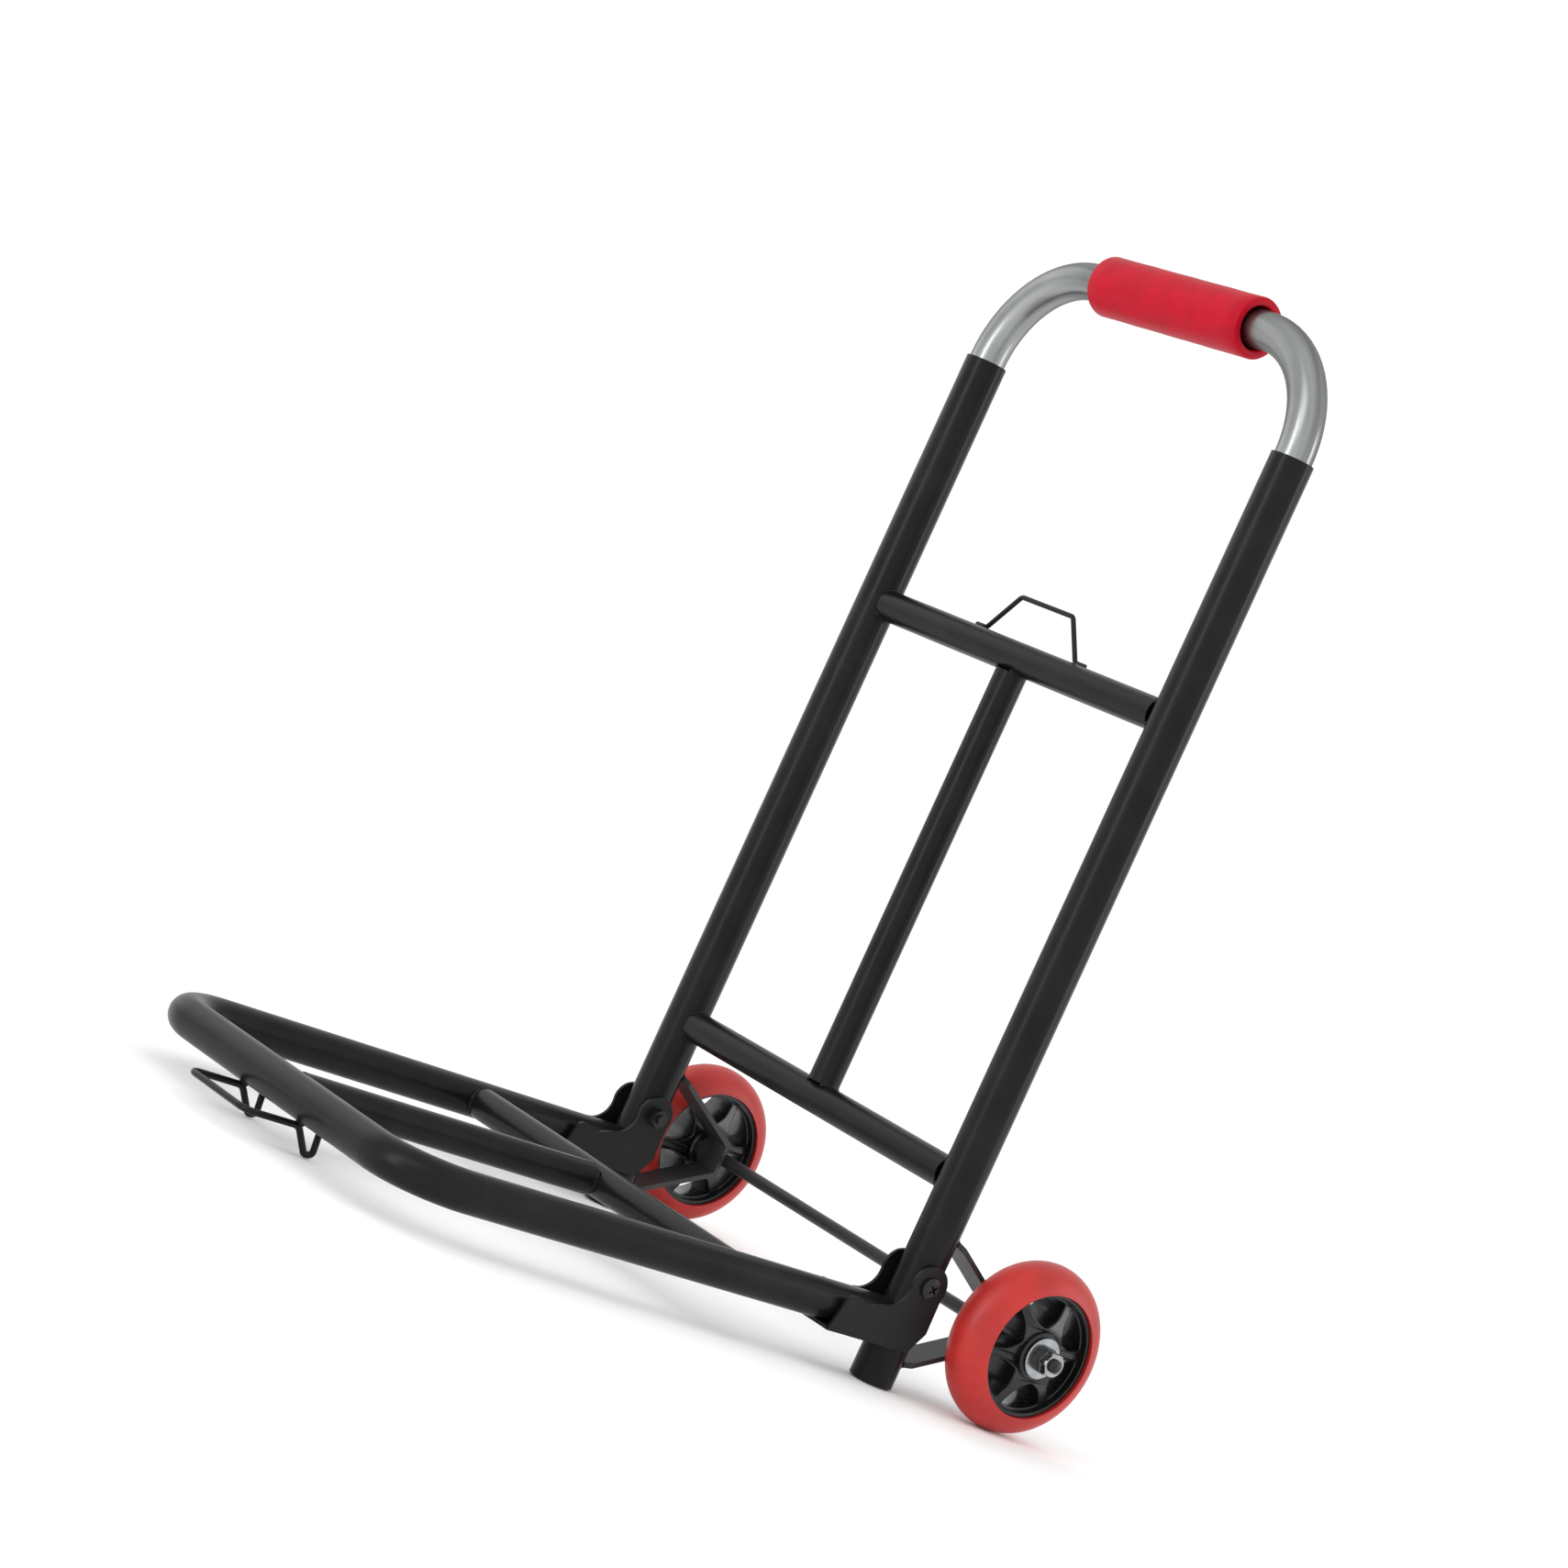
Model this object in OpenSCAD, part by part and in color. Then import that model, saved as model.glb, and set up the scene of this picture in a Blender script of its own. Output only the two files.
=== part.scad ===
// Folding hand truck: a welded tube frame on two wheels, a platform that folds up on two hinge
// brackets, and a handle that slides into the uprights and locks with two snap buttons.
// +X is the right-hand wheel, -Y is the platform side, +Z is up, and the ground is at z = 0.

/* [Frame] */
// Distance between the centre lines of the two uprights
frame_width = 280; // [230:1:340]
// Length of each upright tube
upright_len = 555; // [460:1:670]
// Outer diameter of the uprights
upright_d = 25.4; // [25:0.1:30.6]
// Height of the open lower ends of the uprights above the ground
foot_clearance = 1; // [0.5:0.1:3]
// Outer diameter of the crossbars and centre tubes
bar_d = 19; // [15:0.1:21]
// Wall of the crossbars and centre tubes
bar_wall = 1.2; // [0.8:0.1:2]
// Height of the lower crossbar above the ground
lower_bar_z = 120.8; // [116:0.1:140]
// Height of the upper crossbar above the ground
upper_bar_z = 398.4; // [330:0.1:410]
// How far a cut tube end reaches past the tangent of the tube it is welded to
butt_overlap = 0.4; // [0.2:0.1:1]

/* [Handle] */
// Outer diameter of the handle tube
handle_d = 22.2; // [18:0.1:23]
// Wall of the handle tube
handle_wall = 1.2; // [1:0.1:2]
// Radial gap between the handle tube and the bore of the upright
slide_gap = 0.2; // [0.1:0.05:0.4]
// Centre line radius of the two handle bends
handle_bend_r = 64; // [50:1:72]
// Height of the handle bends above the upright tops when the handle is down
handle_seat = 0.5; // [0.3:0.1:5]
// How far the handle slides out
handle_travel = 375; // [300:1:390]
// Gap between a handle leg's end and the hinge bolt when the handle is down
leg_end_gap = 10; // [4:1:30]
// Length of the rubber grip
grip_len = 134; // [90:1:140]
// Outer diameter of the grip
grip_d = 36; // [32:0.5:42]
// Bore of the grip, a loose fit on the tube
grip_bore = 25.4; // [24.6:0.1:28]
// Sideways place of the grip on the handle
grip_shift = 3; // [0:0.5:3]

/* [Snap buttons] */
// Diameter of the button
button_d = 7.6; // [6:0.1:9.2]
// Length of the button
button_len = 8; // [6:0.5:8.5]
// Gap round the button in the handle leg
button_gap = 0.06; // [0.03:0.01:0.1]
// How much wider the upright's hole is than the button
button_hole_extra = 0.8; // [0.4:0.1:2]
// Height of the button above the end of the handle leg
button_rise = 24; // [18:1:40]

/* [Platform] */
// Distance from the hinge to the centre line of the front bar
platform_reach = 338; // [280:1:410]
// Outer diameter of the platform's bent tube
rail_d = 22.2; // [19:0.1:24]
// Wall of the platform's bent tube
rail_wall = 1.2; // [1:0.1:2]
// Centre line radius of the platform's front corners
corner_r = 38; // [32:1:60]
// Distance from the hinge to the platform's cross tube
cross_at = 118; // [95:1:160]
// How far the open platform drops towards its front, in degrees
platform_slope = 1.5; // [0:0.1:1.5]

/* [Hinge] */
// Height of the hinge bolt above the ground
pivot_z = 61.8; // [60:0.1:70]
// How far the hinge bolt sits in front of the upright's centre line
pivot_ahead = 2; // [0:0.1:3]
// Distance from the hinge bolt down to the rail's centre line
rail_drop = 24.9; // [24.5:0.1:30]
// Thickness of the bracket sheet
sheet_t = 2; // [1.5:0.1:3]
// Gap between an upright and each bracket cheek
cheek_gap = 0.3; // [0.2:0.05:1]
// Diameter of the hinge bolt
bolt_d = 6; // [5:0.1:7.2]
// Radial running gap of the hinge bolt in the upright
bolt_gap = 0.06; // [0.02:0.01:0.1]
// Gap between a rail's end and the upright it stops against
stop_gap = 0.4; // [0.3:0.1:1]

/* [Wheels] */
// Diameter of the wheels over the tyre
wheel_d = 100; // [90:1:120]
// Width of the tyre
tyre_w = 31.5; // [26:0.5:34]
// Outer radius of the wheel hub's rim, which the tyre sits on
rim_r = 36.3; // [32:0.1:40]
// Diameter of the axle rod
axle_d = 8; // [6.5:0.1:10]
// Distance from the uprights' centre line back to the front of the tyres
tyre_back = 18.5; // [17:0.5:40]
// Radial running gap of the axle in the hubs
axle_gap = 0.05; // [0.02:0.01:0.1]
// Width of the flat steel of the wheel straps
strap_w = 20; // [16:0.5:24]
// Thickness of the flat steel of the wheel straps
strap_t = 3; // [2:0.1:4]

/* [Hooks] */
// Wire diameter of the cord hook on the upper crossbar
cord_hook_wire = 3; // [2.5:0.1:4]
// Height of the cord hook's top above its feet
cord_hook_h = 24; // [18:1:36]
// Width of the cord hook's flat top
cord_hook_top = 48; // [36:1:70]
// Wire diameter of the front hook under the platform
front_hook_wire = 3.8; // [3:0.1:5]
// Distance between the two legs of the front hook
front_hook_w = 64; // [50:1:90]
// How far the front hook's loop reaches ahead of the front bar
front_hook_reach = 36; // [25:1:60]

/* [Hidden] */
$fn = 48;
eps = 0.01;

side_x = frame_width / 2;
upright_r = upright_d / 2;
bar_r = bar_d / 2;
handle_r = handle_d / 2;
rail_r = rail_d / 2;
bore_r = handle_r + slide_gap;
upright_top = foot_clearance + upright_len;

handle_top = upright_top + handle_seat + handle_bend_r;
leg_end_z = pivot_z + bolt_d / 2 + leg_end_gap;
button_z = leg_end_z + button_rise;
plug_flange = 2.5;
plug_len = 12;
button_flange_d = button_d + 1.6;
button_flange_t = 1.2;
button_in_y = handle_r - 0.1;
spring_t = 0.8;
spring_w = 7;

wheel_r = wheel_d / 2;
axle_back = wheel_r + tyre_back;
tyre_section_r = tyre_w / 2 + 0.15;
strap_x = side_x + strap_w / 2;
washer_t = 1.2;
washer_d = 20;
side_gap = 0.2;
hub_w = 33;
rim_w = 27;
rim_wall = 3;
boss_r = 14.5;
spoke_w = 6;
spoke_depth = 22;
spoke_count = 6;
spoke_turn = -18;      // how far the first spoke stands from straight up
outer_washer_d = 24;
outer_washer_t = 1.6;
spacer_d = 15;
spacer_len = 3.5;
nut_af = 13;
nut_t = 6.4;
axle_stub = 3;
fit_gap = 0.1;
hub_in_x = strap_x + fit_gap + washer_t + side_gap;
hub_out_x = hub_in_x + hub_w;
wheel_x = (hub_in_x + hub_out_x) / 2;
outer_washer_x = hub_out_x + side_gap;
spacer_x = outer_washer_x + outer_washer_t;
nut_x = spacer_x + spacer_len;
axle_end_x = nut_x + nut_t + axle_stub;

strap_back_y = axle_back - axle_d / 2;
strap_flat = 21;
strap_upper_rise = 29.5;
strap_lower_drop = 25.5;
strap_corner = 3.5;

cheek_in = upright_r + cheek_gap;
cheek_out = cheek_in + sheet_t;
lobe_r = 12.2;
bracket_len = 57;
bolt_head_d = 12;
bolt_head_h = 3.4;
hinge_nut_af = 10;
hinge_nut_t = 5;
bolt_stub = 2.6;
rail_start = upright_r - pivot_ahead + stop_gap + sin(platform_slope) * (rail_drop + rail_r);

hook_r = front_hook_wire / 2;
hook_tip = platform_reach + front_hook_reach;
hook_z = -rail_drop - rail_r - hook_r + 0.3;
front_reach = pivot_ahead + hook_tip * cos(platform_slope) + hook_z * sin(platform_slope) + hook_r;
rear_reach = axle_back + wheel_r;
frame_y = (front_reach - rear_reach) / 2;

function unit(v) = v / norm(v);

// Turns +Z onto the direction d
module aim(d) {
    rotate([0, acos(d[2] / norm(d)), atan2(d[1], d[0])]) children();
}

// A round bar along a list of points, with every corner bent to the same radius
module bent_bar(points, r, bend_r) {
    n = len(points);
    ways = [for (i = [0 : n - 2]) unit(points[i + 1] - points[i])];
    turns = [for (i = [1 : n - 2]) acos(ways[i - 1] * ways[i])];
    cuts = [for (i = [0 : n - 1]) (i == 0 || i == n - 1) ? 0 : bend_r * tan(turns[i - 1] / 2)];
    for (i = [0 : n - 2]) {
        from = points[i] + ways[i] * cuts[i];
        to = points[i + 1] - ways[i] * cuts[i + 1];
        translate(from) aim(ways[i]) cylinder(r = r, h = norm(to - from));
    }
    for (i = [1 : n - 2]) {
        way = ways[i - 1];
        turn = turns[i - 1];
        inward = unit(ways[i] - (way * ways[i]) * way);
        normal = cross(way, inward);
        tilt = acos(normal[2]);
        swing = atan2(normal[1], normal[0]);
        x_axis = [cos(tilt) * cos(swing), cos(tilt) * sin(swing), -sin(tilt)];
        y_axis = [-sin(swing), cos(swing), 0];
        spin = atan2(-inward * y_axis, -inward * x_axis);
        translate(points[i] - way * cuts[i] + inward * bend_r)
            rotate([0, tilt, swing]) rotate([0, 0, spin])
                rotate_extrude(angle = turn) translate([bend_r, 0]) circle(r = r);
    }
}

// A bent tube: the same route with its bore taken out
module bent_tube(points, r, wall, bend_r) {
    last = len(points) - 1;
    first_way = unit(points[1] - points[0]);
    last_way = unit(points[last] - points[last - 1]);
    inside = [for (i = [0 : last])
              i == 0 ? points[0] - first_way : i == last ? points[last] + last_way : points[i]];
    difference() {
        bent_bar(points, r, bend_r);
        bent_bar(inside, r - wall, bend_r);
    }
}

// A cylinder along X from x = from to x = to
module rod_x(r, from, to) {
    translate([from, 0, 0]) rotate([0, 90, 0]) cylinder(r = r, h = to - from);
}

// Pieces of the frame and the handle are drawn with the uprights' centre lines in the XZ plane
module on_frame() {
    translate([0, frame_y, 0]) children();
}

// Pieces of the platform are drawn with the hinge bolt at the origin and the platform level
module on_platform() {
    translate([0, frame_y - pivot_ahead, pivot_z]) rotate([platform_slope, 0, 0]) children();
}

// Pieces on the axle are drawn with the axle's centre line through the origin
module on_axle() {
    translate([0, frame_y + axle_back, wheel_r]) children();
}

// ---- Frame ----

module upright(side) {
    color([0.13, 0.13, 0.14]) on_frame() difference() {
        translate([side * side_x, 0, foot_clearance]) cylinder(r = upright_r, h = upright_len);
        translate([side * side_x, 0, foot_clearance - 1]) cylinder(r = bore_r, h = upright_len + 2);
        translate([side * side_x, -pivot_ahead, pivot_z])
            rod_x(bolt_d / 2 + bolt_gap, -upright_d, upright_d);
        for (z = [button_z, button_z + handle_travel])
            translate([side * side_x, 0, z]) rotate([-90, 0, 0])
                cylinder(d = button_d + button_hole_extra, h = upright_d);
    }
}
module upright_left() { upright(-1); }
module upright_right() { upright(1); }

// Straight tube between the uprights with flat cut ends
module crossbar(z) {
    half = side_x - upright_r + butt_overlap;
    color([0.13, 0.13, 0.14]) on_frame() difference() {
        translate([0, 0, z]) rod_x(bar_r, -half, half);
        translate([0, 0, z]) rod_x(bar_r - bar_wall, -half - 1, half + 1);
        for (side = [-1, 1])
            translate([side * side_x, 0, z - bar_d]) cylinder(r = upright_r, h = 2 * bar_d);
    }
}
module upper_crossbar() { crossbar(upper_bar_z); }
module lower_crossbar() { crossbar(lower_bar_z); }

module centre_tube() {
    low = lower_bar_z + bar_r - butt_overlap;
    high = upper_bar_z - bar_r + butt_overlap;
    color([0.13, 0.13, 0.14]) on_frame() difference() {
        translate([0, 0, low]) cylinder(r = bar_r, h = high - low);
        translate([0, 0, low - 1]) cylinder(r = bar_r - bar_wall, h = high - low + 2);
        for (z = [lower_bar_z, upper_bar_z]) translate([0, 0, z]) rod_x(bar_r, -bar_d, bar_d);
    }
}

// Wire hook with a flat top and legs that climb 4 for every 3 across; its feet lie along the bar
module cord_hook() {
    r = cord_hook_wire / 2;
    back = 4;
    foot_z = round(100 * (upper_bar_z + sqrt(pow(bar_r + r - 0.1, 2) - back * back))) / 100;
    top_z = foot_z + cord_hook_h;
    foot_x = cord_hook_top / 2 + cord_hook_h * 3 / 4;
    end_x = foot_x + 9;
    right = [[cord_hook_top / 2, back, top_z], [foot_x, back, foot_z], [end_x, back, foot_z]];
    left = [for (i = [2 : -1 : 0]) [-right[i][0], right[i][1], right[i][2]]];
    color([0.13, 0.13, 0.14]) on_frame() difference() {
        bent_bar(concat(left, right), r, 4);
        translate([0, 0, upper_bar_z]) rod_x(bar_r, -end_x - 1, end_x + 1);
    }
}

// Flat steel bent to a tray shape, both ends welded to the back of an upright
module wheel_strap(side) {
    y0 = upright_r - butt_overlap;
    y1 = strap_back_y;
    flat_top = wheel_r + strap_flat / 2;
    flat_low = wheel_r - strap_flat / 2;
    top_angle = atan2(strap_upper_rise, y1 - y0);
    low_angle = atan2(strap_lower_drop, y1 - y0);
    top_t = strap_t / cos(top_angle);
    low_t = strap_t / cos(low_angle);
    color([0.13, 0.13, 0.14]) on_frame() translate([side * side_x, 0, 0]) difference() {
        rotate([90, 0, 90]) translate([0, 0, -strap_w / 2]) linear_extrude(height = strap_w)
            polygon([[y0, flat_top + strap_upper_rise], [y1, flat_top], [y1, flat_low],
                     [y0, flat_low - strap_lower_drop], [y0, flat_low - strap_lower_drop + low_t],
                     [y1 - strap_t, flat_low - strap_t * tan(low_angle) + low_t],
                     [y1 - strap_t, flat_top + strap_t * tan(top_angle) - top_t],
                     [y0, flat_top + strap_upper_rise - top_t]]);
        translate([0, 0, foot_clearance]) cylinder(r = upright_r, h = upright_len);
        for (edge = [-1, 1]) translate([edge * strap_w / 2, y0, 0]) rotate([0, 0, 45])
            cube([strap_corner * sqrt(2), strap_corner * sqrt(2), 2 * upright_len], center = true);
    }
}
module wheel_strap_left() { wheel_strap(-1); }
module wheel_strap_right() { wheel_strap(1); }

// ---- Axle and its fasteners ----

// Both ends of the axle line, mirrored
module axle_ends() {
    for (side = [0, 1]) mirror([side, 0, 0]) on_axle() children();
}

module ring_x(outer_d, inner_d, from, length) {
    difference() {
        rod_x(outer_d / 2, from, from + length);
        rod_x(inner_d / 2, from - 1, from + length + 1);
    }
}

module axle_rod() {
    dome = 1.2;
    color([0.12, 0.12, 0.13]) on_axle() {
        rod_x(axle_d / 2, -axle_end_x + dome, axle_end_x - dome);
        for (side = [-1, 1]) translate([side * (axle_end_x - dome), 0, 0]) rotate([0, side * 90, 0])
            cylinder(r1 = axle_d / 2, r2 = axle_d / 2 - dome, h = dome);
    }
}
module inner_washers() {
    color([0.72, 0.73, 0.75]) axle_ends()
        ring_x(washer_d, axle_d + 2 * fit_gap, strap_x + fit_gap, washer_t);
}
module outer_washers() {
    color([0.72, 0.73, 0.75]) axle_ends()
        ring_x(outer_washer_d, axle_d + 2 * fit_gap, outer_washer_x, outer_washer_t);
}
module spacer_rings() {
    color([0.2, 0.2, 0.21]) axle_ends()
        ring_x(spacer_d, axle_d + 2 * fit_gap, spacer_x, spacer_len);
}
module axle_nuts() {
    color([0.8, 0.81, 0.83]) axle_ends() difference() {
        translate([nut_x, 0, 0]) rotate([0, 90, 0])
            cylinder(r = nut_af / 2 / cos(30), h = nut_t, $fn = 6);
        rod_x(axle_d / 2, nut_x - 1, nut_x + nut_t + 1);
    }
}

// ---- Wheels ----

// Turns a profile drawn as [radius, distance from the wheel's middle] about the axle line
module wheel_turn(side) {
    on_axle() translate([side * wheel_x, 0, 0]) rotate([0, 90, 0])
        rotate_extrude($fn = 96) children();
}

module tyre(side) {
    color([0.75, 0.16, 0.16]) wheel_turn(side) intersection() {
        translate([wheel_r - tyre_section_r, 0]) circle(r = tyre_section_r);
        translate([rim_r, -tyre_w / 2]) square([wheel_r, tyre_w]);
    }
}
module tyre_left() { tyre(-1); }
module tyre_right() { tyre(1); }

module hub(side) {
    color([0.08, 0.08, 0.09]) {
        difference() {
            union() {
                wheel_turn(side) translate([rim_r - rim_wall, -rim_w / 2]) square([rim_wall, rim_w]);
                wheel_turn(side) translate([0, -hub_w / 2]) square([boss_r, hub_w]);
                on_axle() translate([side * wheel_x, 0, 0])
                    for (i = [0 : spoke_count - 1]) rotate([i * 360 / spoke_count + spoke_turn, 0, 0])
                        translate([-spoke_depth / 2, -spoke_w / 2, boss_r - 1])
                            cube([spoke_depth, spoke_w, rim_r - rim_wall - boss_r + 2]);
            }
            on_axle()
                rod_x(axle_d / 2 + axle_gap, min(side, 0) * axle_end_x, max(side, 0) * axle_end_x);
        }
    }
}
module hub_left() { hub(-1); }
module hub_right() { hub(1); }

// ---- Handle ----

module handle_tube() {
    color([0.78, 0.79, 0.8]) on_frame() difference() {
        bent_tube([[-side_x, 0, leg_end_z], [-side_x, 0, handle_top],
                   [side_x, 0, handle_top], [side_x, 0, leg_end_z]],
                  handle_r, handle_wall, handle_bend_r);
        for (side = [-1, 1]) translate([side * side_x, 0, button_z]) rotate([-90, 0, 0])
            cylinder(r = button_d / 2 + button_gap, h = handle_d);
    }
}

// Plug in the lower end of each handle leg
module leg_plugs() {
    color([0.06, 0.06, 0.06]) on_frame() for (side = [-1, 1]) translate([side * side_x, 0, leg_end_z]) {
        translate([0, 0, -plug_flange]) cylinder(r = handle_r + slide_gap / 2, h = plug_flange);
        cylinder(r = handle_r - handle_wall, h = plug_len);
    }
}

// Leaf spring folded in a narrow V inside each handle leg, its back arm behind the button
module button_springs() {
    back_y = button_in_y - button_len;
    front_y = -(handle_r - handle_wall) + 2;
    low = leg_end_z + plug_len;
    high = button_z + 6;
    color([0.6, 0.61, 0.62]) on_frame() for (side = [-1, 1]) translate([side * side_x, 0, 0])
        rotate([90, 0, 90]) translate([0, 0, -spring_w / 2]) linear_extrude(height = spring_w)
            polygon([[front_y, low], [front_y + spring_t + 2, low], [back_y, button_z - 5],
                     [back_y, high], [back_y - spring_t, high], [back_y - spring_t, button_z - 5],
                     [front_y + spring_t + 1, low + spring_t], [front_y + spring_t, low + spring_t + 1],
                     [front_y + spring_t, high], [front_y, high]]);
}

// Snap button, drawn pushed in level with the handle tube
module snap_button(side) {
    dome_h = 1.4;
    color([0.7, 0.71, 0.73]) on_frame() translate([side * side_x, button_in_y - button_len, button_z])
        rotate([-90, 0, 0]) {
            cylinder(d = button_flange_d, h = button_flange_t);
            cylinder(d = button_d, h = button_len - dome_h);
            translate([0, 0, button_len - dome_h])
                cylinder(d1 = button_d, d2 = button_d - 2 * dome_h, h = dome_h);
        }
}
module snap_button_left() { snap_button(-1); }
module snap_button_right() { snap_button(1); }

module grip() {
    color([0.8, 0.06, 0.13]) on_frame() translate([0, 0, handle_top])
        ring_x(grip_d, grip_bore, grip_shift - grip_len / 2, grip_len);
}

// ---- Platform ----

module platform_tube() {
    color([0.13, 0.13, 0.14]) on_platform()
        bent_tube([[-side_x, -rail_start, -rail_drop], [-side_x, -platform_reach, -rail_drop],
                   [side_x, -platform_reach, -rail_drop], [side_x, -rail_start, -rail_drop]],
                  rail_r, rail_wall, corner_r);
}

module platform_cross_tube() {
    half = side_x - rail_r + butt_overlap;
    color([0.13, 0.13, 0.14]) on_platform() translate([0, -cross_at, -rail_drop]) difference() {
        rod_x(bar_r, -half, half);
        rod_x(bar_r - bar_wall, -half - 1, half + 1);
        for (side = [-1, 1]) translate([side * side_x, -bar_d, 0]) rotate([-90, 0, 0])
            cylinder(r = rail_r, h = 2 * bar_d);
    }
}

module platform_centre_tube() {
    front = platform_reach - rail_r + butt_overlap;
    back = cross_at + bar_r - butt_overlap;
    color([0.13, 0.13, 0.14]) on_platform() translate([0, 0, -rail_drop]) difference() {
        translate([0, -front, 0]) rotate([-90, 0, 0]) cylinder(r = bar_r, h = front - back);
        translate([0, -front - 1, 0]) rotate([-90, 0, 0])
            cylinder(r = bar_r - bar_wall, h = front - back + 2);
        translate([0, -platform_reach, 0]) rod_x(rail_r, -bar_d, bar_d);
        translate([0, -cross_at, 0]) rod_x(bar_r, -bar_d, bar_d);
    }
}

// One wire with square bends: a loop ahead of the front bar, and a U foot under the bar on each side
module front_hook() {
    half = front_hook_w / 2;
    bar_z = -rail_drop;
    foot_back = -platform_reach + 10.5;
    foot_front = -platform_reach - 1.5;
    bend_r = 4;
    drop = (hook_r - pivot_z - (foot_front + bend_r) * sin(platform_slope)) / cos(platform_slope);
    foot_z = ceil(drop * 100) / 100;
    right = [[half, foot_back, bar_z - 7], [half, foot_back, foot_z], [half, foot_front, foot_z],
             [half, foot_front, hook_z], [half, -hook_tip, hook_z]];
    left = [for (i = [len(right) - 1 : -1 : 0]) [-right[i][0], right[i][1], right[i][2]]];
    color([0.1, 0.1, 0.1]) on_platform() difference() {
        bent_bar(concat(right, left), hook_r, bend_r);
        translate([0, -platform_reach, bar_z]) rod_x(rail_r, -half - 10, half + 10);
    }
}

// Side outline of a hinge bracket cheek, with the hinge bolt at the origin and -X to the front
module cheek_outline() {
    floor_z = -rail_drop - rail_r - sheet_t;
    fillet_r = 13;
    fillet_x = -lobe_r - fillet_r + 0.3;
    fillet_z = -rail_drop + 22;
    difference() {
        union() {
            circle(r = lobe_r);
            polygon([[lobe_r - 1, 3], [lobe_r - 1, floor_z + 13], [lobe_r - 9, floor_z],
                     [-bracket_len, floor_z], [-bracket_len + 6, floor_z + 20.5],
                     [-bracket_len + 9, floor_z + 22], [-bracket_len + 12.5, floor_z + 21.5],
                     [fillet_x - 9, fillet_z - fillet_r - 2.5], [fillet_x, fillet_z - fillet_r],
                     [fillet_x, fillet_z], [-lobe_r + 0.3, fillet_z], [-lobe_r + 1.5, 5]]);
        }
        translate([fillet_x, fillet_z]) circle(r = fillet_r);
        circle(d = bolt_d);
    }
}

// Two cheeks round the upright and the rail, joined by a web under the rail
module hinge_bracket(side) {
    floor_z = -rail_drop - rail_r - sheet_t;
    color([0.12, 0.12, 0.13]) on_platform() translate([side * side_x, 0, 0]) {
        for (face = [-cheek_out, cheek_in])
            translate([face, 0, 0]) rotate([90, 0, 90]) linear_extrude(height = sheet_t) cheek_outline();
        translate([-cheek_in, -bracket_len, floor_z])
            cube([2 * cheek_in, bracket_len - rail_start - 2, sheet_t]);
    }
}
module hinge_bracket_left() { hinge_bracket(-1); }
module hinge_bracket_right() { hinge_bracket(1); }

// Both hinge bolt lines, with +X pointing away from the cart's middle
module hinge_lines() {
    for (side = [0, 1]) on_platform() mirror([side, 0, 0]) translate([side_x, 0, 0]) children();
}

module hinge_bolts() {
    slot_w = 1.3;
    slot_len = 6;
    slot_depth = 1.6;
    color([0.06, 0.06, 0.06]) hinge_lines() {
        rod_x(bolt_d / 2, -cheek_out - hinge_nut_t - bolt_stub, cheek_out + eps);
        difference() {
            union() {
                rod_x(bolt_head_d / 2, cheek_out, cheek_out + bolt_head_h / 2);
                translate([cheek_out + bolt_head_h / 2, 0, 0]) rotate([0, 90, 0])
                    cylinder(d1 = bolt_head_d, d2 = bolt_head_d * 0.66, h = bolt_head_h / 2);
            }
            for (turn = [45, 135]) translate([cheek_out + bolt_head_h, 0, 0]) rotate([turn, 0, 0])
                cube([2 * slot_depth, slot_len, slot_w], center = true);
        }
    }
}

module hinge_nuts() {
    color([0.1, 0.1, 0.1]) hinge_lines() difference() {
        translate([-cheek_out - hinge_nut_t, 0, 0]) rotate([0, 90, 0])
            cylinder(r = hinge_nut_af / 2 / cos(30), h = hinge_nut_t, $fn = 6);
        rod_x(bolt_d / 2, -cheek_out - hinge_nut_t - 1, -cheek_out + 1);
    }
}

upright_left();
upright_right();
upper_crossbar();
lower_crossbar();
centre_tube();
cord_hook();
wheel_strap_left();
wheel_strap_right();
axle_rod();
inner_washers();
outer_washers();
spacer_rings();
axle_nuts();
handle_tube();
leg_plugs();
button_springs();
grip();
snap_button_left();
snap_button_right();
platform_tube();
platform_cross_tube();
platform_centre_tube();
front_hook();
hinge_bracket_left();
hinge_bracket_right();
hinge_bolts();
hinge_nuts();
tyre_left();
tyre_right();
hub_left();
hub_right();
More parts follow.
